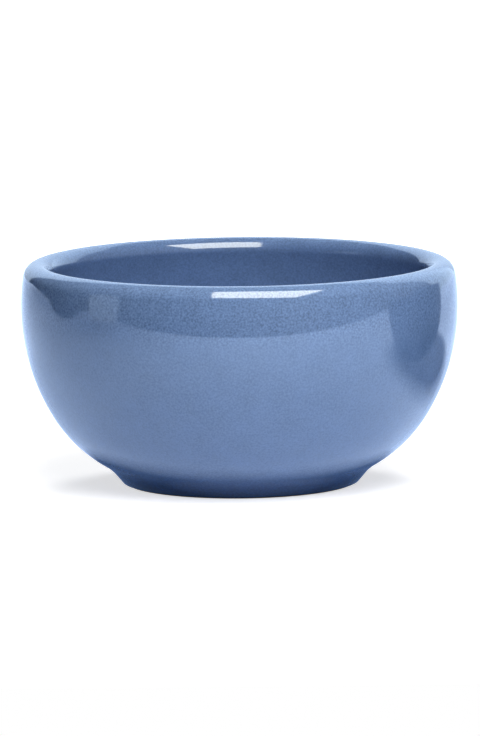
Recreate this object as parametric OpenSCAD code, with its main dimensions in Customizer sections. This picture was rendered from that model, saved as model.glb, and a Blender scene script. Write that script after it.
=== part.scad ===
// Small glazed stoneware bowl for nuts: a thick round wall, drawn in at the lip, on a low foot ring.
// The pieces are the fired clay body, the glaze coat that covers it inside and out, and the separate
// pool of glaze inside the foot ring. The standing face of the foot ring is bare clay.
// Units are millimetres. The origin is on the table, on the bowl's axis, with +Z up.
// Bowl sizes are taken over the glaze, and the clay lies one glaze thickness deeper.

/* [Bowl] */
// Widest diameter
bowl_d = 102; // [92:1:114]
// Height from the table to the top of the lip
bowl_h = 52; // [46:1:58]
// Drop from the top of the lip to the widest part of the wall
belly_drop = 10.2; // [8:0.1:13]
// Angle below the belly where the tighter lower curve of the wall begins
belly_sweep = 31; // [24:1:36]
// Radius of the lower curve as a share of the belly curve's radius
lower_curve = 0.68; // [0.6:0.01:0.8]

/* [Wall and lip] */
// Thickness of the wall at the belly, with the glaze on both sides
wall_t = 6.5; // [5:0.1:8]
// Radius of the round on the outside of the lip
lip_outer_r = 3.5; // [2.8:0.1:4.4]
// Thickness of the floor between the well and the recess under the foot
floor_t = 4.4; // [3:0.1:6]

/* [Foot ring] */
// Diameter of the foot where it meets the table, before its edge is rounded
foot_d = 54.5; // [50:0.5:60]
// Height at which the foot runs into the wall
foot_h = 4; // [3:0.1:5.5]
// How far the foot's side leans out over that height
foot_flare = 3.4; // [2.4:0.1:4.2]
// Radius of the hollow curve between the foot and the wall
foot_fillet_r = 10; // [4:0.5:12]
// Width of the foot ring
foot_ring_w = 4.5; // [3.5:0.1:6]
// Round on the two edges of the standing face
foot_edge_r = 0.5; // [0.3:0.1:0.8]
// Height of the recess inside the foot ring
recess_h = 2.4; // [1.8:0.1:3.5]
// Radius of the corner at the top of the recess
recess_fillet_r = 1.2; // [0.6:0.1:1.4]

/* [Glaze] */
// Thickness of the fired glaze
glaze_t = 0.4; // [0.2:0.05:0.6]
// Height above the table at which the glaze stops on the foot ring
glaze_line_h = 0.6; // [0.5:0.1:1]

/* [Hidden] */

// Turn of a curve that one straight step of an outline stands for, in degrees
facet = 3;
$fn = 120;

// Colours of the bare clay and of the fired glaze
clay_buff = [0.76, 0.68, 0.56];
slate_blue = [0.42, 0.51, 0.68];

function unit(angle) = [cos(angle), sin(angle)];
function angle_of(v) = atan2(v.y, v.x);
function arc(centre, r, from, to) =
    let (steps = ceil(abs(to - from) / facet))
    [for (i = [0:steps]) centre + r * unit(from + (to - from) * i / steps)];

// Side of the foot: it leans out from the standing edge to the point where it runs into the wall
foot_edge = [foot_d / 2, 0];
foot_top = foot_edge + [foot_flare, foot_h];
foot_lean = atan2(foot_flare, foot_h);
foot_up = [sin(foot_lean), cos(foot_lean)];
foot_out = unit(-foot_lean);
function foot_side_r(height, depth) =
    foot_edge.x + (height * sin(foot_lean) - depth) / cos(foot_lean);

// Outside of the wall: a belly curve, upright at the widest point, and a tighter lower curve that
// touches it below the belly and passes through the top of the foot
belly_z = bowl_h - belly_drop;
sweep = unit(-belly_sweep);
reach = foot_top - [bowl_d / 2, belly_z];
bend = [1, 0] - (1 - lower_curve) * sweep;
bend_square = bend * bend - lower_curve * lower_curve;
belly_r = -(reach * bend + sqrt(pow(reach * bend, 2) - bend_square * (reach * reach))) / bend_square;
belly_c = [bowl_d / 2 - belly_r, belly_z];
lower_r = lower_curve * belly_r;
lower_c = belly_c + (belly_r - lower_r) * sweep;

// Hollow curve that touches the side of the foot and the lower curve of the wall
fillet_from = foot_edge + foot_fillet_r * foot_out - lower_c;
fillet_climb = -(fillet_from * foot_up)
    - sqrt(pow(fillet_from * foot_up, 2) - fillet_from * fillet_from + pow(lower_r + foot_fillet_r, 2));
fillet_c = foot_edge + foot_fillet_r * foot_out + fillet_climb * foot_up;
wall_foot_angle = angle_of(fillet_c - lower_c);

// Lip: an outer round inside the belly curve and an inner round that meets it at the top and runs
// into the inside of the wall
inside_r = belly_r - wall_t;
lip_across = sqrt(pow(belly_r - lip_outer_r, 2) - pow(belly_drop - lip_outer_r, 2));
lip_inner_r = (pow(lip_across, 2) + pow(belly_drop, 2) - pow(inside_r, 2)) / (2 * (inside_r + belly_drop));
lip_outer_c = [belly_c.x + lip_across, bowl_h - lip_outer_r];
lip_inner_c = [belly_c.x + lip_across, bowl_h - lip_inner_r];
lip_outer_angle = angle_of(lip_outer_c - belly_c);
lip_inner_angle = angle_of(lip_inner_c - belly_c);

// Well: the inside of the belly curve, then a curve that runs level into the floor
floor_z = recess_h + floor_t;
well_r = (belly_z + inside_r * sweep.y - floor_z) / (1 + sweep.y);
well_c = belly_c + (inside_r - well_r) * sweep;

// Recess inside the foot ring
ring_inner_r = foot_d / 2 - foot_ring_w;
recess_corner_c = [ring_inner_r - recess_fillet_r, recess_h - recess_fillet_r];

// Outline from the hollow curve above the foot, up the outside, over the lip and down to the middle
// of the floor, at a depth below the finished surface
function bowl_outline(depth) = concat(
    arc(fillet_c, foot_fillet_r + depth, 180 - foot_lean, 180 + wall_foot_angle),
    arc(lower_c, lower_r - depth, wall_foot_angle, -belly_sweep),
    arc(belly_c, belly_r - depth, -belly_sweep, 0),
    arc(belly_c, belly_r - depth, 0, lip_outer_angle),
    arc(lip_outer_c, lip_outer_r - depth, lip_outer_angle, 90),
    arc(lip_inner_c, lip_inner_r - depth, 90, 180 + lip_inner_angle),
    arc(belly_c, inside_r + depth, lip_inner_angle, -belly_sweep),
    arc(well_c, well_r + depth, -belly_sweep, -90),
    [[0, floor_z - depth]]
);

// Outline of the recess, from the inner side of the foot ring to the middle of its ceiling
function recess_outline(depth) = concat(
    arc(recess_corner_c, recess_fillet_r + depth, 0, 90),
    [[0, recess_h + depth]]
);

// Rounded underside of the clay foot ring, from its inner side to its outer side
function standing_outline() =
    let (
        inner = ring_inner_r + glaze_t + foot_edge_r,
        outer = foot_side_r(foot_edge_r, glaze_t + foot_edge_r)
    )
    concat(
        arc([inner, foot_edge_r], foot_edge_r, 180, 270),
        arc([outer, foot_edge_r], foot_edge_r, -90, -foot_lean)
    );

function reversed(points) = [for (i = [len(points) - 1:-1:0]) points[i]];

// Fired stoneware body, the piece that carries everything else
module clay_body() {
    color(clay_buff)
        rotate_extrude()
            polygon(concat(
                reversed(recess_outline(glaze_t)),
                standing_outline(),
                bowl_outline(glaze_t)
            ));
}

// Blue glaze over the outside, the lip and the inside, down to the glaze line on the foot
module glaze_coat() {
    color(slate_blue)
        rotate_extrude()
            polygon(concat(
                [[foot_side_r(glaze_line_h, 0), glaze_line_h]],
                bowl_outline(0),
                reversed(bowl_outline(glaze_t)),
                [[foot_side_r(glaze_line_h, glaze_t), glaze_line_h]]
            ));
}

// Blue glaze on the ceiling and the inner side of the foot ring's recess
module base_glaze() {
    color(slate_blue)
        rotate_extrude()
            polygon(concat(
                [[ring_inner_r, glaze_line_h]],
                recess_outline(0),
                reversed(recess_outline(glaze_t)),
                [[ring_inner_r + glaze_t, glaze_line_h]]
            ));
}

clay_body();
glaze_coat();
base_glaze();
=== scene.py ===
"""Small blue glazed stoneware bowl for nuts, dressed around its frame in a soft white studio."""

import logging
import math
from dataclasses import dataclass
from enum import Enum

import bpy
from mathutils import Matrix, Vector


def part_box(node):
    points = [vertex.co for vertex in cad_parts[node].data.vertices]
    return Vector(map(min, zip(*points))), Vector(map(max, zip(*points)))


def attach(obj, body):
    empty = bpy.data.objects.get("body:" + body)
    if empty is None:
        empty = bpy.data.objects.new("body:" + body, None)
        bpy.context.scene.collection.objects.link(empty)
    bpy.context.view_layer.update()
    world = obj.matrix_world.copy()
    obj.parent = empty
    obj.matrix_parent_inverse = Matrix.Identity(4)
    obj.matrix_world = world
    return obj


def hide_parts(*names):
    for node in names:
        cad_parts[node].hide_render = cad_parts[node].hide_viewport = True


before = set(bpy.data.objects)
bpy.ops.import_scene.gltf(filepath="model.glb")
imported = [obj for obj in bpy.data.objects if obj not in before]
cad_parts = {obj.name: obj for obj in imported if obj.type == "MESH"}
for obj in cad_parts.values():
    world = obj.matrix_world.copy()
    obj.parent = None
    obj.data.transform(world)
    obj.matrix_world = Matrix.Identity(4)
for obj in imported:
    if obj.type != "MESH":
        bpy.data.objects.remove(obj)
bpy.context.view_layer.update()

LOG = logging.getLogger("nut_bowl")

MM = 0.001
BODY = "root"
Colour = tuple[float, float, float]
Point = tuple[float, float]
Socket = bpy.types.NodeSocket

# Middle part of the range of a noise value, in which nearly all of it lies
NOISE_SPAN: Point = (0.3, 0.7)

# Half the side of the square that a card is stretched from
HALF_SIDE = 0.5


class Node(Enum):
    """Names of the solids in the frame."""

    CLAY_BODY = "clay_body"
    GLAZE_COAT = "glaze_coat"
    BASE_GLAZE = "base_glaze"


class Slot(Enum):
    """Names of the record's slots for the glaze."""

    BLUE_GLAZE = "blue_glaze"
    BASE_BLUE_GLAZE = "base_blue_glaze"


class Ray(Enum):
    """Kinds of ray that can see a piece of studio gear."""

    CAMERA = "visible_camera"
    DIFFUSE = "visible_diffuse"
    GLOSSY = "visible_glossy"
    TRANSMISSION = "visible_transmission"
    SHADOW = "visible_shadow"


class Outline(Enum):
    """Shapes that the glowing part of a card can have."""

    FULL = "full"
    ELLIPSE = "ellipse"


def unit(angle: float) -> Vector:
    """Return the unit vector of the section plane at an angle in degrees."""
    return Vector((math.cos(math.radians(angle)), math.sin(math.radians(angle))))


def angle_of(vector: Vector) -> float:
    """Return the angle of a section vector in degrees."""
    return math.degrees(math.atan2(vector.y, vector.x))


def deselect_all() -> None:
    """Leave edit mode and deselect every object."""
    if bpy.context.object and bpy.context.object.mode != "OBJECT":
        bpy.ops.object.mode_set(mode="OBJECT")
    bpy.ops.object.select_all(action="DESELECT")


@dataclass(frozen=True)
class BowlForm:
    """Section of the finished bowl as arcs that touch, in metres, with radius as x and height as y.

    A depth moves the section below the finished surface, as from the glaze to the clay.
    """

    bowl_r: float
    bowl_h: float
    belly_drop: float = 10.2 * MM
    belly_sweep: float = 31.0
    lower_curve: float = 0.68
    wall_t: float = 6.5 * MM
    lip_outer_r: float = 3.5 * MM
    floor_t: float = 4.4 * MM
    foot_r: float = 27.25 * MM
    foot_h: float = 4.0 * MM
    foot_flare: float = 3.4 * MM
    foot_fillet_r: float = 10.0 * MM
    foot_ring_w: float = 4.5 * MM
    recess_h: float = 2.4 * MM
    recess_fillet_r: float = 1.2 * MM
    glaze_t: float = 0.4 * MM
    glaze_line_h: float = 0.6 * MM

    @classmethod
    def from_frame(cls) -> "BowlForm":
        """Return the form at the width and height of the frame's glaze coat."""
        low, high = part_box(Node.GLAZE_COAT.value)
        return cls(bowl_r=(high.x - low.x) / 2, bowl_h=high.z)

    @property
    def foot_lean(self) -> float:
        """Lean of the foot's side from upright, in degrees."""
        return math.degrees(math.atan2(self.foot_flare, self.foot_h))

    def foot_side(self, height: float, depth: float) -> Vector:
        """Return a point on the foot's side.

        Args:
            height: Height above the table.
            depth: Depth below the finished surface.

        Returns:
            The point in the section plane.
        """
        lean = math.radians(self.foot_lean)
        radius = self.foot_r + (height * math.sin(lean) - depth) / math.cos(lean)
        return Vector((radius, height))

    @property
    def sweep(self) -> Vector:
        """Direction from the belly curve's centre to the place where the lower curve takes over."""
        return unit(-self.belly_sweep)

    @property
    def belly_z(self) -> float:
        """Height of the widest part of the wall."""
        return self.bowl_h - self.belly_drop

    @property
    def belly_r(self) -> float:
        """Radius of the belly curve.

        Returns:
            The radius with which the lower curve passes through the top of the foot.
        """
        reach = Vector((self.foot_r + self.foot_flare - self.bowl_r, self.foot_h - self.belly_z))
        bend = Vector((1, 0)) - (1 - self.lower_curve) * self.sweep
        square = bend.dot(bend) - self.lower_curve**2
        along = reach.dot(bend)
        return -(along + math.sqrt(along**2 - square * reach.dot(reach))) / square

    @property
    def belly_c(self) -> Vector:
        """Centre of the belly curve."""
        return Vector((self.bowl_r - self.belly_r, self.belly_z))

    @property
    def lower_r(self) -> float:
        """Radius of the lower curve of the wall."""
        return self.lower_curve * self.belly_r

    @property
    def lower_c(self) -> Vector:
        """Centre of the lower curve of the wall."""
        return self.belly_c + (self.belly_r - self.lower_r) * self.sweep

    @property
    def fillet_c(self) -> Vector:
        """Centre of the hollow curve above the foot.

        Returns:
            The centre with which it touches the foot's side and the lower curve of the wall.
        """
        out = unit(-self.foot_lean)
        climb = unit(90 - self.foot_lean)
        start = Vector((self.foot_r, 0)) + self.foot_fillet_r * out
        gap = start - self.lower_c
        along = gap.dot(climb)
        reach = (self.lower_r + self.foot_fillet_r) ** 2
        return start + (-along - math.sqrt(along**2 - gap.dot(gap) + reach)) * climb

    @property
    def inside_r(self) -> float:
        """Radius of the belly curve on the inside of the wall."""
        return self.belly_r - self.wall_t

    @property
    def lip_across(self) -> float:
        """Distance from the belly curve's centre out to the top of the lip."""
        return math.sqrt(
            (self.belly_r - self.lip_outer_r) ** 2 - (self.belly_drop - self.lip_outer_r) ** 2
        )

    @property
    def lip_inner_r(self) -> float:
        """Radius of the inner round of the lip."""
        spare = self.lip_across**2 + self.belly_drop**2 - self.inside_r**2
        return spare / (2 * (self.inside_r + self.belly_drop))

    def lip_c(self, radius: float) -> Vector:
        """Return the centre of a round of the lip with that radius."""
        return Vector((self.belly_c.x + self.lip_across, self.bowl_h - radius))

    @property
    def floor_z(self) -> float:
        """Height of the well's floor."""
        return self.recess_h + self.floor_t

    @property
    def well_r(self) -> float:
        """Radius of the curve that runs from the inside of the wall into the floor."""
        drop = self.belly_z + self.inside_r * self.sweep.y - self.floor_z
        return drop / (1 + self.sweep.y)

    @property
    def well_c(self) -> Vector:
        """Centre of the curve that runs into the floor."""
        return self.belly_c + (self.inside_r - self.well_r) * self.sweep

    @property
    def ring_inner_r(self) -> float:
        """Radius of the foot ring's inner side, over the glaze."""
        return self.foot_r - self.foot_ring_w


@dataclass(frozen=True)
class Section:
    """Draws the bowl's section as points a set step apart, finer on the small rounds."""

    form: BowlForm
    step: float
    least_steps: int

    def arc(self, centre: Vector, radius: float, start: float, end: float) -> list[Vector]:
        """Return points along an arc.

        Args:
            centre: Centre of the arc in the section plane.
            radius: Radius of the arc.
            start: First angle in degrees.
            end: Last angle in degrees.

        Returns:
            Points from the first angle to just before the last, so that arcs can be joined.
        """
        length = abs(math.radians(end - start)) * radius
        steps = max(self.least_steps, math.ceil(length / self.step))
        turn = (end - start) / steps
        return [centre + radius * unit(start + turn * i) for i in range(steps)]

    def line(self, start: Vector, end: Vector) -> list[Vector]:
        """Return points along a straight line, from its start to just before its end."""
        steps = max(1, math.ceil((end - start).length / self.step))
        return [start.lerp(end, i / steps) for i in range(steps)]

    def bowl(self, depth: float) -> list[Vector]:
        """Return the section from the middle of the floor, over the lip and down to the glaze line.

        Args:
            depth: Depth below the finished surface.

        Returns:
            Points of the section, with its last point on the foot's side at the glaze line.
        """
        form = self.form
        lip_outer_c = form.lip_c(form.lip_outer_r)
        lip_inner_c = form.lip_c(form.lip_inner_r)
        lip_outer_angle = angle_of(lip_outer_c - form.belly_c)
        lip_inner_angle = angle_of(lip_inner_c - form.belly_c)
        foot_angle = angle_of(form.fillet_c - form.lower_c)
        floor = form.floor_z - depth
        foot_turn = 180 - form.foot_lean
        foot_top = form.fillet_c + (form.foot_fillet_r + depth) * unit(foot_turn)
        glaze_line = form.foot_side(form.glaze_line_h, depth)
        return [
            *self.line(Vector((0, floor)), Vector((form.well_c.x, floor))),
            *self.arc(form.well_c, form.well_r + depth, -90, -form.belly_sweep),
            *self.arc(form.belly_c, form.inside_r + depth, -form.belly_sweep, lip_inner_angle),
            *self.arc(lip_inner_c, form.lip_inner_r - depth, 180 + lip_inner_angle, 90),
            *self.arc(lip_outer_c, form.lip_outer_r - depth, 90, lip_outer_angle),
            *self.arc(form.belly_c, form.belly_r - depth, lip_outer_angle, -form.belly_sweep),
            *self.arc(form.lower_c, form.lower_r - depth, -form.belly_sweep, foot_angle),
            *self.arc(form.fillet_c, form.foot_fillet_r + depth, 180 + foot_angle, foot_turn),
            *self.line(foot_top, glaze_line),
            glaze_line,
        ]

    def recess(self, depth: float) -> list[Vector]:
        """Return the section of the recess under the base, from its middle to the glaze line.

        Args:
            depth: Depth below the finished surface.

        Returns:
            Points of the section, with its last point on the foot ring's inner side.
        """
        form = self.form
        corner = Vector((form.ring_inner_r, form.recess_h)) - form.recess_fillet_r * Vector((1, 1))
        ceiling = form.recess_h + depth
        side = form.ring_inner_r + depth
        return [
            *self.line(Vector((0, ceiling)), Vector((corner.x, ceiling))),
            *self.arc(corner, form.recess_fillet_r + depth, 90, 0),
            Vector((side, corner.y)),
            Vector((side, form.glaze_line_h)),
        ]


@dataclass(frozen=True)
class Lathe:
    """Turns a section about the bowl's axis into a closed mesh."""

    segments: int = 160
    merge_gap: float = 0.001 * MM

    def turn(self, name: str, section: list[Vector]) -> bpy.types.Object:
        """Draw a section point by point and spin it round the axis.

        Args:
            name: Name of the piece.
            section: Points of the section, which starts and ends on the axis.

        Returns:
            The turned object, with its normals facing outwards and smooth shading.
        """
        deselect_all()
        bpy.ops.mesh.primitive_plane_add(size=1, location=(0, 0, 0))
        piece = bpy.context.object
        piece.name = piece.data.name = name
        bpy.ops.object.mode_set(mode="EDIT")
        bpy.ops.mesh.select_all(action="SELECT")
        bpy.ops.mesh.merge(type="CENTER")
        points = [Vector((p.x, 0, p.y)) for p in section]
        bpy.ops.transform.translate(value=points[0])
        for here, there in zip(points, points[1:]):
            bpy.ops.mesh.extrude_vertices_move(TRANSFORM_OT_translate={"value": there - here})
        bpy.ops.mesh.select_all(action="SELECT")
        bpy.ops.mesh.spin(
            steps=self.segments, angle=math.tau, center=(0, 0, 0), axis=(0, 0, 1)
        )
        bpy.ops.mesh.select_all(action="SELECT")
        bpy.ops.mesh.remove_doubles(threshold=self.merge_gap)
        bpy.ops.mesh.normals_make_consistent(inside=False)
        bpy.ops.object.mode_set(mode="OBJECT")
        bpy.ops.object.shade_smooth()
        return piece


class Recipe:
    """Builds a material's node tree with one call per node."""

    def __init__(self, name: str) -> None:
        """Make an empty material with its output node.

        Args:
            name: Name of the material.
        """
        self.material = bpy.data.materials.new(name)
        self.material.use_nodes = True
        self.tree = self.material.node_tree
        self.tree.nodes.clear()
        self.output = self.tree.nodes.new("ShaderNodeOutputMaterial")

    def add(self, kind: str, inputs: dict | None = None, **settings: object) -> bpy.types.Node:
        """Add a node.

        Args:
            kind: Blender's name of the node type.
            inputs: Value, or output socket to link, for each input by its name or number.
            settings: Values of the node's own properties.

        Returns:
            The new node.
        """
        node = self.tree.nodes.new(kind)
        for key, value in settings.items():
            setattr(node, key, value)
        for key, value in (inputs or {}).items():
            if isinstance(value, Socket):
                self.tree.links.new(value, node.inputs[key])
            else:
                node.inputs[key].default_value = value
        return node

    def object_coordinates(self) -> Socket:
        """Return the coordinates that stay with the piece, in metres."""
        return self.add("ShaderNodeTexCoord").outputs["Object"]

    def noise(self, where: Socket, size: float, detail: float) -> Socket:
        """Return a noise value whose lumps have about a size in metres."""
        inputs = {"Vector": where, "Scale": 1 / size, "Detail": detail}
        return self.add("ShaderNodeTexNoise", inputs).outputs["Fac"]

    def span(self, value: Socket, source: Point, target: Point) -> Socket:
        """Return a value moved from a source range to a target range, and held at its ends.

        Args:
            value: Socket to read.
            source: First and last value of the range that is read.
            target: Values given at the two ends of that range.

        Returns:
            The socket with the new value.
        """
        inputs = {
            "Value": value,
            "From Min": source[0],
            "From Max": source[1],
            "To Min": target[0],
            "To Max": target[1],
        }
        return self.add("ShaderNodeMapRange", inputs, clamp=True).outputs["Result"]

    def mix(
        self,
        first: Socket | Colour,
        second: Socket | Colour,
        share: Socket | float,
        blend: str = "MIX",
    ) -> Socket:
        """Return the blend of two colours.

        Args:
            first: Colour at a share of 0.
            second: Colour at a share of 1.
            share: How much of the second colour shows.
            blend: Blender's name of the way to mix them.

        Returns:
            The socket with the mixed colour.
        """
        inputs = {"Factor": share}
        node = self.add("ShaderNodeMix", inputs, data_type="RGBA", blend_type=blend)
        for socket, colour in zip(("A", "B"), (first, second)):
            target = next(s for s in node.inputs if s.name == socket and s.type == "RGBA")
            if isinstance(colour, Socket):
                self.tree.links.new(colour, target)
            else:
                target.default_value = (*colour, 1)
        return next(s for s in node.outputs if s.type == "RGBA")

    def math(self, operation: str, first: Socket, second: Socket | float) -> Socket:
        """Return the result of a sum on two values."""
        node = self.add("ShaderNodeMath", {0: first, 1: second}, operation=operation)
        return node.outputs["Value"]

    def distance(self, where: Socket, place: Vector) -> Socket:
        """Return the distance of a point from a place."""
        inputs = {0: where, 1: place}
        return self.add("ShaderNodeVectorMath", inputs, operation="DISTANCE").outputs["Value"]

    def height(self, where: Socket) -> Socket:
        """Return the height of a point."""
        return self.add("ShaderNodeSeparateXYZ", {"Vector": where}).outputs["Z"]

    def bump(self, relief: Socket, depth: float) -> Socket:
        """Return the normal of a surface with a relief of a depth in metres."""
        inputs = {"Height": relief, "Distance": depth}
        return self.add("ShaderNodeBump", inputs).outputs["Normal"]

    def finish(self, shader: bpy.types.Node) -> bpy.types.Material:
        """Link a shader to the output and return the material."""
        self.tree.links.new(shader.outputs[0], self.output.inputs["Surface"])
        return self.material


@dataclass(frozen=True)
class GlazeFinish:
    """Glossy fired glaze: finely speckled, with painted shade that darkens the inside of the bowl,
    and darkest on the foot, partly as darker glaze and partly as painted shade.

    Attributes:
        name: Name of the material.
        form: Form of the bowl that the glaze lies on.
        blue: Colour of the outside.
        shaded_inside_blue: Colour of the inside, darker than the outside as painted shade.
        foot_blue: Colour of the foot, partly darker glaze and partly painted shade.
        foot_reach: Heights at which the foot's colour, with its painted shade, begins and is full.
        speckle_size: Size of the fine specks.
        speckle: Strength of the specks.
        lip_speckle: Their strength on the outside above the belly.
        lip_fade: Height over which they gain that strength, below the belly.
        mottle_size: Size of the soft lighter and darker clouds.
        mottle: Strength of the clouds.
        ripple_size: Size of the ripples that bend reflections.
        ripple_depth: Depth of the ripples.
        roughness: Least and most roughness of the gloss.
        index: Index of refraction.
    """

    name: str
    form: BowlForm
    blue: Colour
    shaded_inside_blue: Colour
    foot_blue: Colour
    foot_reach: Point = (6.8 * MM, 2.6 * MM)
    speckle_size: float = 0.45 * MM
    speckle: float = 0.15
    lip_speckle: float = 0.26
    lip_fade: float = 4.0 * MM
    mottle_size: float = 6.0 * MM
    mottle: float = 0.05
    ripple_size: float = 5.0 * MM
    ripple_depth: float = 0.006 * MM
    roughness: Point = (0.048, 0.078)
    index: float = 1.62

    def outside(self, recipe: Recipe, where: Socket) -> Socket:
        """Return 1 on the outside of the bowl and 0 on its inside, blended over the lip.

        Args:
            recipe: Material that the nodes go into.
            where: Coordinates on the piece.

        Returns:
            The socket with the share.
        """
        form = self.form
        away = recipe.distance(where, Vector((0, 0, form.belly_z)))
        wall = (form.bowl_r - form.wall_t, form.bowl_r - form.wall_t / 2)
        return recipe.span(away, wall, (0, 1))

    def glaze_and_shade_colour(self, recipe: Recipe, where: Socket) -> Socket:
        """Return the colour of the glaze with its painted shade, darker inside the bowl and on the
        foot.

        Args:
            recipe: Material that the nodes go into.
            where: Coordinates on the piece.

        Returns:
            The socket with the colour.
        """
        # The inside is darker than the outside as painted shade.
        colour = recipe.mix(self.shaded_inside_blue, self.blue, self.outside(recipe, where))
        # Towards the foot the glaze darkens, partly as darker glaze and partly as painted shade.
        foot = recipe.span(recipe.height(where), self.foot_reach, (0, 1))
        return recipe.mix(colour, self.foot_blue, foot)

    def specks(self, recipe: Recipe, where: Socket) -> Socket:
        """Return the fine specks, which are stronger on the outside above the belly.

        Args:
            recipe: Material that the nodes go into.
            where: Coordinates on the piece.

        Returns:
            The socket with what the specks add to the brightness.
        """
        belly_z = self.form.belly_z
        fade = (belly_z - self.lip_fade, belly_z)
        more = recipe.span(recipe.height(where), fade, (0, self.lip_speckle - self.speckle))
        more = recipe.math("MULTIPLY", more, self.outside(recipe, where))
        grain = recipe.noise(where, self.speckle_size, detail=2)
        specks = recipe.span(grain, NOISE_SPAN, (-1, 1))
        return recipe.math("MULTIPLY", specks, recipe.math("ADD", more, self.speckle))

    def material(self) -> bpy.types.Material:
        """Mix the glaze.

        Returns:
            The glaze's material.
        """
        recipe = Recipe(self.name)
        where = recipe.object_coordinates()
        cloud = recipe.noise(where, self.mottle_size, detail=3)
        mottle = recipe.span(cloud, NOISE_SPAN, (1 - self.mottle, 1 + self.mottle))
        shade = recipe.math("ADD", mottle, self.specks(recipe, where))
        colour = recipe.mix(self.glaze_and_shade_colour(recipe, where), shade, 1.0, "MULTIPLY")
        shader = recipe.add(
            "ShaderNodeBsdfPrincipled",
            {
                "Base Color": colour,
                "Roughness": recipe.span(cloud, NOISE_SPAN, self.roughness),
                "IOR": self.index,
                "Normal": recipe.bump(
                    recipe.noise(where, self.ripple_size, detail=1), self.ripple_depth
                ),
            },
        )
        return recipe.finish(shader)


@dataclass(frozen=True)
class ClayFinish:
    """Bare fired stoneware with grog specks and the fine rings that trimming on a wheel leaves."""

    name: str
    buff: Colour
    toasted: Colour
    grog: Colour
    toast_size: float = 8.0 * MM
    grog_size: float = 0.5 * MM
    grog_span: Point = (0.62, 0.7)
    grog_share: float = 0.7
    ring_spacing: float = 0.7 * MM
    ring_waver: float = 0.6
    relief: float = 0.03 * MM
    roughness: float = 0.85

    def material(self) -> bpy.types.Material:
        """Mix the clay.

        Returns:
            The clay's material.
        """
        recipe = Recipe(self.name)
        where = recipe.object_coordinates()
        toast = recipe.span(recipe.noise(where, self.toast_size, detail=4), NOISE_SPAN, (0, 1))
        grain = recipe.noise(where, self.grog_size, detail=2)
        specks = recipe.span(grain, self.grog_span, (0, self.grog_share))
        colour = recipe.mix(recipe.mix(self.buff, self.toasted, toast), self.grog, specks)
        rings = recipe.add(
            "ShaderNodeTexWave",
            {
                "Vector": where,
                "Scale": 1 / self.ring_spacing / math.tau,
                "Distortion": self.ring_waver,
            },
            wave_type="RINGS",
            rings_direction="Z",
        )
        shader = recipe.add(
            "ShaderNodeBsdfPrincipled",
            {
                "Base Color": colour,
                "Roughness": self.roughness,
                "Normal": recipe.bump(
                    recipe.math("ADD", rings.outputs["Fac"], grain), self.relief
                ),
            },
        )
        return recipe.finish(shader)


@dataclass
class GlazeCoat:
    """The glaze over the outside, the lip and the inside, as one closed skin."""

    form: BowlForm
    finish: GlazeFinish
    lathe: Lathe = Lathe()
    step: float = 1.0 * MM
    least_steps: int = 14
    hidden_step: float = 3.0 * MM
    hidden_least_steps: int = 7
    waver_size: float = 22.0 * MM
    waver: float = 0.04 * MM

    def section(self) -> list[Vector]:
        """Draw the closed section.

        Returns:
            Points of the glossy side, of the bead at the glaze line and of the hidden clay side.
        """
        form = self.form
        glossy = Section(form, self.step, self.least_steps)
        hidden = Section(form, self.hidden_step, self.hidden_least_steps)
        bead_c = form.foot_side(form.glaze_line_h, form.glaze_t / 2)
        bead = glossy.arc(bead_c, form.glaze_t / 2, -form.foot_lean, -form.foot_lean - 180)
        return [*glossy.bowl(0)[:-1], *bead, *reversed(hidden.bowl(form.glaze_t))]

    def let_waver(self, piece: bpy.types.Object) -> None:
        """Give the turned skin the slight unevenness of fired glaze.

        Args:
            piece: The turned skin.
        """
        clouds = bpy.data.textures.new("glaze_waver", "CLOUDS")
        clouds.noise_scale = self.waver_size
        clouds.noise_depth = 0
        displace = piece.modifiers.new("waver", "DISPLACE")
        displace.texture = clouds
        displace.texture_coords = "LOCAL"
        displace.strength = self.waver
        bpy.ops.object.modifier_apply(modifier=displace.name)

    def build(self) -> bpy.types.Object:
        """Turn the coat.

        Returns:
            The coat without its finish.
        """
        piece = self.lathe.turn("blue_glaze_skin", self.section())
        self.let_waver(piece)
        return piece

    def dress(self, piece: bpy.types.Object) -> None:
        """Give the coat its finish and its place in the frame.

        Args:
            piece: The turned coat.
        """
        piece.data.materials.append(self.finish.material())
        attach(piece, BODY)
        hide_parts(Node.GLAZE_COAT.value)
        LOG.info("%s: %d faces", piece.name, len(piece.data.polygons))


@dataclass
class BaseGlaze:
    """The pool of glaze inside the foot ring, with soft edges where it was wiped back."""

    form: BowlForm
    finish: GlazeFinish
    lathe: Lathe = Lathe()
    step: float = 0.8 * MM
    least_steps: int = 8

    def section(self) -> list[Vector]:
        """Draw the closed section.

        Returns:
            Points of the glossy side, of the wiped edge and of the hidden clay side.
        """
        form = self.form
        drawn = Section(form, self.step, self.least_steps)
        half = form.glaze_t / 2
        edge_c = Vector((form.ring_inner_r + half, form.glaze_line_h))
        edge = drawn.arc(edge_c, half, 180, 360)
        return [*drawn.recess(0)[:-1], *edge, *reversed(drawn.recess(form.glaze_t))]

    def build(self) -> bpy.types.Object:
        """Turn the pool and return it."""
        return self.lathe.turn("blue_glaze_pool", self.section())

    def dress(self, piece: bpy.types.Object) -> None:
        """Give the pool its finish and its place in the frame.

        Args:
            piece: The turned pool.
        """
        piece.data.materials.append(self.finish.material())
        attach(piece, BODY)
        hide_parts(Node.BASE_GLAZE.value)
        LOG.info("%s: %d faces", piece.name, len(piece.data.polygons))


@dataclass
class ClayBody:
    """The fired clay, which shows on the standing face of the foot ring."""

    finish: ClayFinish

    def dress(self) -> None:
        """Give the frame's own solid the bare clay finish."""
        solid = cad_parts[Node.CLAY_BODY.value]
        solid.data.materials.clear()
        solid.data.materials.append(self.finish.material())
        LOG.info("%s: %d faces", solid.name, len(solid.data.polygons))


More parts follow.
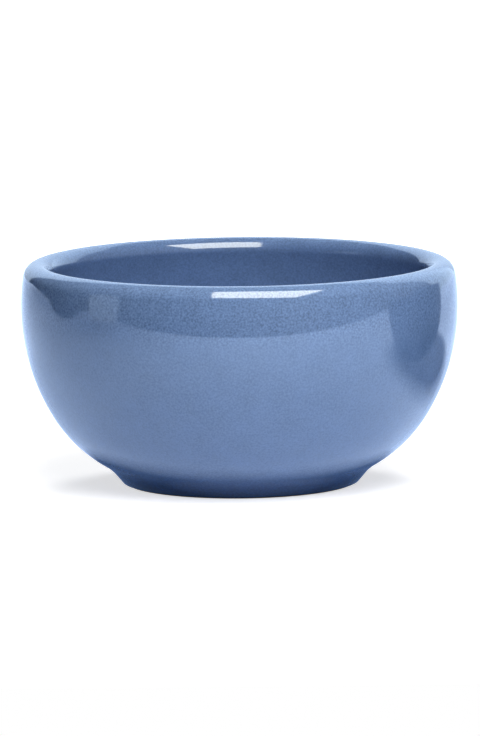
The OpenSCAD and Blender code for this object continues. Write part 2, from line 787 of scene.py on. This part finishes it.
@dataclass(frozen=True)
class Viewpoint:
    """Camera of the picture, far off and a little above the lip."""

    distance: float = 2.0
    elevation: float = 7.75
    aim_z: float = 26.83 * MM
    lens: float = 418.7
    roll: float = -0.55

    def place(self) -> None:
        """Add the camera and make it the scene's."""
        tilt = math.radians(self.elevation)
        back = Vector((0, -math.cos(tilt), math.sin(tilt)))
        deselect_all()
        bpy.ops.object.camera_add(location=Vector((0, 0, self.aim_z)) + self.distance * back)
        camera = bpy.context.object
        turn = (-back).to_track_quat("-Z", "Y").to_matrix()
        roll = Matrix.Rotation(math.radians(self.roll), 3, "Z")
        camera.rotation_euler = (turn @ roll).to_euler()
        camera.data.lens = self.lens
        bpy.context.scene.camera = camera


def show_in_glaze_only(gear: bpy.types.Object) -> None:
    """Hide a piece of studio gear from all but glossy rays.

    Args:
        gear: The piece of studio gear.
    """
    for ray in Ray:
        setattr(gear, ray.value, ray is Ray.GLOSSY)


@dataclass(frozen=True)
class Card:
    """Glowing flat card that only reflections show.

    Attributes:
        name: Name of the card.
        centre: Middle of the card.
        along: Side along which the glow can change.
        up: Side across it.
        glow: Colour and strength of the glow, at the start of the first side.
        far_glow: The same at the end of that side, where it differs.
        outline: Shape of the part that glows, inside the sides.
        softness: Share of an ellipse over which its rim fades.
    """

    name: str
    centre: Vector
    along: Vector
    up: Vector
    glow: Colour
    far_glow: Colour | None = None
    outline: Outline = Outline.FULL
    softness: float = 0.15

    def material(self) -> bpy.types.Material:
        """Mix the card's glow.

        Returns:
            The glowing material, which is clear outside an ellipse.
        """
        recipe = Recipe(self.name)
        where = recipe.object_coordinates()
        across = recipe.add("ShaderNodeSeparateXYZ", {"Vector": where}).outputs["X"]
        share = recipe.span(across, (-HALF_SIDE, HALF_SIDE), (0, 1))
        colour = recipe.mix(self.glow, self.far_glow or self.glow, share)
        shader = recipe.add("ShaderNodeEmission", {"Color": colour})
        if self.outline is Outline.ELLIPSE:
            rim = (HALF_SIDE, HALF_SIDE * (1 - self.softness))
            inside = recipe.span(recipe.distance(where, Vector()), rim, (0, 1))
            clear = recipe.add("ShaderNodeBsdfTransparent")
            inputs = {0: inside, 1: clear.outputs[0], 2: shader.outputs[0]}
            shader = recipe.add("ShaderNodeMixShader", inputs)
        return recipe.finish(shader)

    def hang(self) -> None:
        """Add the card in its place."""
        deselect_all()
        bpy.ops.mesh.primitive_plane_add(size=1)
        card = bpy.context.object
        card.name = self.name
        normal = self.along.cross(self.up).normalized()
        turn = Matrix((self.along, self.up, normal)).transposed()
        card.matrix_world = Matrix.Translation(self.centre) @ turn.to_4x4()
        card.data.materials.append(self.material())
        show_in_glaze_only(card)


@dataclass(frozen=True)
class Softbox:
    """Rectangular soft light.

    Attributes:
        name: Name of the light.
        centre: Middle of its face.
        facing: Direction in which it shines.
        width_along: Rough direction of its width.
        width: Width of its face.
        depth: Depth of its face.
        power: Power in watts.
        shine: Glow of its face in the glaze, where the glaze shows it.
    """

    name: str
    centre: Vector
    facing: Vector
    width_along: Vector
    width: float
    depth: float
    power: float
    shine: Colour | None = None

    def place(self) -> None:
        """Add the light, and the bright face that the glaze mirrors where it has one."""
        z_axis = -self.facing.normalized()
        x_axis = (self.width_along - self.width_along.dot(z_axis) * z_axis).normalized()
        y_axis = z_axis.cross(x_axis)
        deselect_all()
        bpy.ops.object.light_add(type="AREA", location=self.centre)
        lamp = bpy.context.object
        lamp.name = self.name
        lamp.visible_glossy = False
        lamp.rotation_euler = Matrix((x_axis, y_axis, z_axis)).transposed().to_euler()
        lamp.data.shape = "RECTANGLE"
        lamp.data.size = self.width
        lamp.data.size_y = self.depth
        lamp.data.energy = self.power
        if self.shine:
            sides = self.width * x_axis, self.depth * y_axis
            Card(f"{self.name}_face", self.centre, *sides, self.shine).hang()


@dataclass(frozen=True)
class Neighbour:
    """The next bowl of the set, out of the picture to the right, which shows in the glaze."""

    form: BowlForm
    finish: GlazeFinish
    place: Vector = Vector((0.145, 0.003, 0))
    lathe: Lathe = Lathe(segments=64)
    step: float = 4.0 * MM
    least_steps: int = 4

    def build(self) -> None:
        """Turn the bowl and stand it in its place."""
        section = Section(self.form, self.step, self.least_steps).bowl(0)
        foot = Vector((0, self.form.glaze_line_h))
        bowl = self.lathe.turn("next_bowl", [*section, foot])
        bowl.data.materials.append(self.finish.material())
        bowl.location = self.place
        show_in_glaze_only(bowl)


@dataclass(frozen=True)
class PaintedShade:
    """Round patch of painted shade on the table, with its light levels at the inner and outer
    radius.
    """

    centre: Vector
    inner_r: float
    outer_r: float
    levels: Point

    def level(self, recipe: Recipe, where: Socket) -> Socket:
        """Return the painted light level at a place on the table."""
        away = recipe.distance(where, self.centre)
        return recipe.span(away, (self.inner_r, self.outer_r), self.levels)


@dataclass(frozen=True)
class Table:
    """White table that ends a little way in front of the bowl, with patches of painted shade on it.

    Attributes:
        half_width: Half its width.
        front: Place of its front edge.
        back: Place of its back edge.
        drop: Gap under the foot, so that the two faces don't flicker.
        black: Paint under full painted shade, for light that bounces off it.
        white: Paint that the camera sees.
        cool: Paint in full light, for light that bounces off it.
        mirrored: Painted glow that the glaze mirrors, in full light.
        bounce: Painted glow that the glaze mirrors under full painted shade, tinted as by light off
            the blue bowl.
        round_bowl: Painted glow of the floor that the camera sees, dimmer round the bowl as painted
            shade.
        far_left: Painted shade in front on the left.
        beyond_left: Painted shade beyond that.
        behind: Painted shade behind the bowl.
        cast: Painted shadow of the bowl, behind it.
        under_bowl: Painted shade where the bowl stands.
        under_neighbour: Painted shade where the next bowl stands.
    """

    half_width: float = 4.0
    front: float = -0.278
    back: float = 4.0
    drop: float = 0.02 * MM
    black: Colour = (0, 0, 0)
    white: Colour = (0.6, 0.6, 0.6)
    cool: Colour = (0.37, 0.48, 0.65)
    mirrored: Colour = (1.1, 1.41, 2.02)
    bounce: Colour = (0.02, 0.07, 0.22)
    round_bowl: PaintedShade = PaintedShade(Vector((0, 0, 0)), 0.12, 0.5, (0.68, 1))
    far_left: PaintedShade = PaintedShade(Vector((-0.34, -0.13, 0)), 0.08, 0.36, (0.42, 1))
    beyond_left: PaintedShade = PaintedShade(Vector((-1.3, 0.3, 0)), 0.75, 1.15, (0.45, 1))
    behind: PaintedShade = PaintedShade(Vector((0, 0.5, 0)), 0.35, 0.55, (0.72, 1))
    cast: PaintedShade = PaintedShade(Vector((0, 0.09, 0)), 0.07, 0.13, (0.58, 1))
    under_bowl: PaintedShade = PaintedShade(Vector((-0.001, 0.008, 0)), 0.0352, 0.0428, (0.1, 1))
    under_neighbour: PaintedShade = PaintedShade(Vector((0.15, 0.035, 0)), 0.062, 0.088, (0.22, 1))

    def mirrored_light(self, recipe: Recipe, where: Socket) -> Socket:
        """Work out the painted light level that the glaze shows at a place on the table.

        Args:
            recipe: Material that the nodes go into.
            where: Coordinates on the table.

        Returns:
            The socket with the level, from 0 in full painted shade to 1 in full light.
        """
        light = self.behind.level(recipe, where)
        beside = (self.far_left, self.beyond_left, self.under_neighbour)
        for shade in (*beside, self.cast, self.under_bowl):
            light = recipe.math("MULTIPLY", light, shade.level(recipe, where))
        return light

    def material(self) -> bpy.types.Material:
        """Mix the white finish.

        Returns:
            The material, which keeps real shadows, carries painted shade and glows for the rays
            that show it.
        """
        recipe = Recipe("white_table")
        where = recipe.object_coordinates()
        path = recipe.add("ShaderNodeLightPath").outputs
        light = self.mirrored_light(recipe, where)
        # Painted glow that the camera sees, dimmer round the bowl.
        seen = recipe.math("MULTIPLY", path["Is Camera Ray"], self.round_bowl.level(recipe, where))
        mirrored = recipe.math("MAXIMUM", path["Is Glossy Ray"], path["Is Transmission Ray"])
        # Painted glow that the glaze mirrors, tinted bluer under the painted shade.
        sheen_colour = recipe.mix(self.bounce, self.mirrored, light)
        # Paint darkened by the painted shade, for light that bounces off the table.
        shaded = recipe.mix(self.black, self.cool, light)
        colour = recipe.mix(shaded, self.white, path["Is Camera Ray"])
        paint = recipe.add("ShaderNodeBsdfDiffuse", {"Color": colour})
        glow = recipe.add("ShaderNodeEmission", {"Strength": seen})
        sheen = recipe.add("ShaderNodeEmission", {"Color": sheen_colour, "Strength": mirrored})
        for layer in (glow, sheen):
            inputs = {0: paint.outputs[0], 1: layer.outputs[0]}
            paint = recipe.add("ShaderNodeAddShader", inputs)
        return recipe.finish(paint)

    def lay(self) -> None:
        """Lay the table under the bowl."""
        deselect_all()
        bpy.ops.mesh.primitive_plane_add(size=1, enter_editmode=True)
        bpy.ops.transform.resize(value=(2 * self.half_width, self.back - self.front, 1))
        bpy.ops.transform.translate(value=(0, (self.front + self.back) / 2, -self.drop))
        bpy.ops.object.mode_set(mode="OBJECT")
        table = bpy.context.object
        table.name = "table"
        table.data.materials.append(self.material())


@dataclass(frozen=True)
class Studio:
    """Dim room around the table, with what stands in it, as the glaze mirrors them."""

    fill: float = 0.03
    half_width: float = 1.6
    front: float = -2.4
    back: float = 3.2
    top: float = 2.2
    low: float = -0.5
    black: Colour = (0.01, 0.015, 0.03)
    dim: Colour = (0.1, 0.12, 0.15)
    grey: Colour = (0.5, 0.58, 0.68)
    pale: Colour = (0.72, 0.93, 1.2)
    cool: Colour = (0.7, 0.88, 1.15)
    bright: Colour = (1.2, 1.55, 2.0)
    key_light: Softbox = Softbox(
        name="key_light",
        centre=Vector((0.099, -0.286, 0.5)),
        facing=Vector((-0.09, 0.65, -0.755)),
        width_along=Vector((0.992, -0.006, -0.125)),
        width=0.411,
        depth=0.53,
        power=5.2,
        shine=(9.6, 9.8, 9.2),
    )
    back_light: Softbox = Softbox(
        name="back_light",
        centre=Vector((0, 0.9, 0.9)),
        facing=Vector((0, -0.9, -0.87)),
        width_along=Vector((1, 0, 0)),
        width=0.4,
        depth=0.4,
        power=9.0,
    )

    def light_world(self) -> None:
        """Give the world its soft fill light and its white background."""
        world = bpy.data.worlds.new("studio")
        bpy.context.scene.world = world
        world.use_nodes = True
        tree = world.node_tree
        path = tree.nodes.new("ShaderNodeLightPath")
        shown = path.outputs["Is Camera Ray"]
        for name in ("Is Glossy Ray", "Is Transmission Ray"):
            either = tree.nodes.new("ShaderNodeMath")
            either.operation = "MAXIMUM"
            tree.links.new(shown, either.inputs[0])
            tree.links.new(path.outputs[name], either.inputs[1])
            shown = either.outputs[0]
        level = tree.nodes.new("ShaderNodeMapRange")
        level.inputs["To Min"].default_value = self.fill
        tree.links.new(shown, level.inputs["Value"])
        background = tree.nodes["Background"]
        background.inputs["Color"].default_value = (1, 1, 1, 1)
        tree.links.new(level.outputs["Result"], background.inputs["Strength"])

    def room(self) -> list[Card]:
        """Lay out the room.

        Returns:
            Cards for its walls and its ceiling.
        """
        side, top = self.half_width, self.top
        middle = (self.front + self.back) / 2
        half = (top + self.low) / 2
        width = Vector((2 * side, 0, 0))
        length = Vector((0, self.back - self.front, 0))
        height = Vector((0, 0, top - self.low))
        return [
            Card("room_front", Vector((0, self.front, half)), width, height, self.black, self.grey),
            Card("room_left", Vector((-side, middle, half)), length, height, self.black),
            Card("room_right", Vector((side, middle, half)), length, height, self.grey, self.dim),
            Card("room_back", Vector((0, self.back, half)), width, height, self.dim),
            Card("room_ceiling", Vector((0, middle, top)), width, length, self.dim),
        ]

    def props(self) -> list[Card]:
        """Lay out what stands in the room.

        Returns:
            Cards for the backdrop, the panel beside it and two things that stand to the left.
        """
        return [
            Card(
                name="backdrop",
                centre=Vector((0.2, 1.3, 0.6)),
                along=Vector((0, 0, 1.2)),
                up=Vector((2.1, 0, 0)),
                glow=self.cool,
                far_glow=self.bright,
            ),
            Card(
                name="panel",
                centre=Vector((0.8, 1.02, 0.75)),
                along=Vector((0.79, -0.62, 0)),
                up=Vector((0, 0, 1.5)),
                glow=self.bright,
            ),
            Card(
                name="dark_thing",
                centre=Vector((-0.37, 0.06, 0.06)),
                along=Vector((0.04, 0.215, 0)),
                up=Vector((0, 0, 0.11)),
                glow=self.black,
                outline=Outline.ELLIPSE,
            ),
            Card(
                name="pale_thing",
                centre=Vector((-0.585, -0.173, 0.08)),
                along=Vector((-0.06, 0.22, 0)),
                up=Vector((0, 0, 0.3)),
                glow=self.pale,
                outline=Outline.ELLIPSE,
            ),
        ]

    def build(self, neighbour: Neighbour) -> None:
        """Set up the studio and the picture's colour handling.

        Args:
            neighbour: The next bowl, which stands in the studio.
        """
        bpy.context.scene.view_settings.view_transform = "Standard"
        self.light_world()
        Table().lay()
        neighbour.build()
        for card in [*self.room(), *self.props()]:
            card.hang()
        for light in (self.key_light, self.back_light):
            light.place()


def main() -> None:
    """Build the bowl and its studio in order."""
    logging.basicConfig(level=logging.INFO, format="%(name)s: %(message)s")
    form = BowlForm.from_frame()
    Viewpoint().place()
    glaze = GlazeFinish(
        name="blue_glaze",
        form=form,
        blue=(0.129, 0.2, 0.345),
        # The inside's darker colour is painted shade.
        shaded_inside_blue=(0.082, 0.136, 0.265),
        # The foot's darker colour is partly darker glaze and partly painted shade.
        foot_blue=(0.03, 0.105, 0.3),
    )
    coat = GlazeCoat(form, glaze)
    coat.dress(coat.build())
    pool = BaseGlaze(form, glaze)
    pool.dress(pool.build())
    clay = ClayFinish(
        name="bare_stoneware",
        buff=(0.52, 0.43, 0.33),
        toasted=(0.42, 0.33, 0.24),
        grog=(0.2, 0.15, 0.11),
    )
    ClayBody(clay).dress()
    Studio().build(Neighbour(form, glaze))


if __name__ == "__main__":
    main()
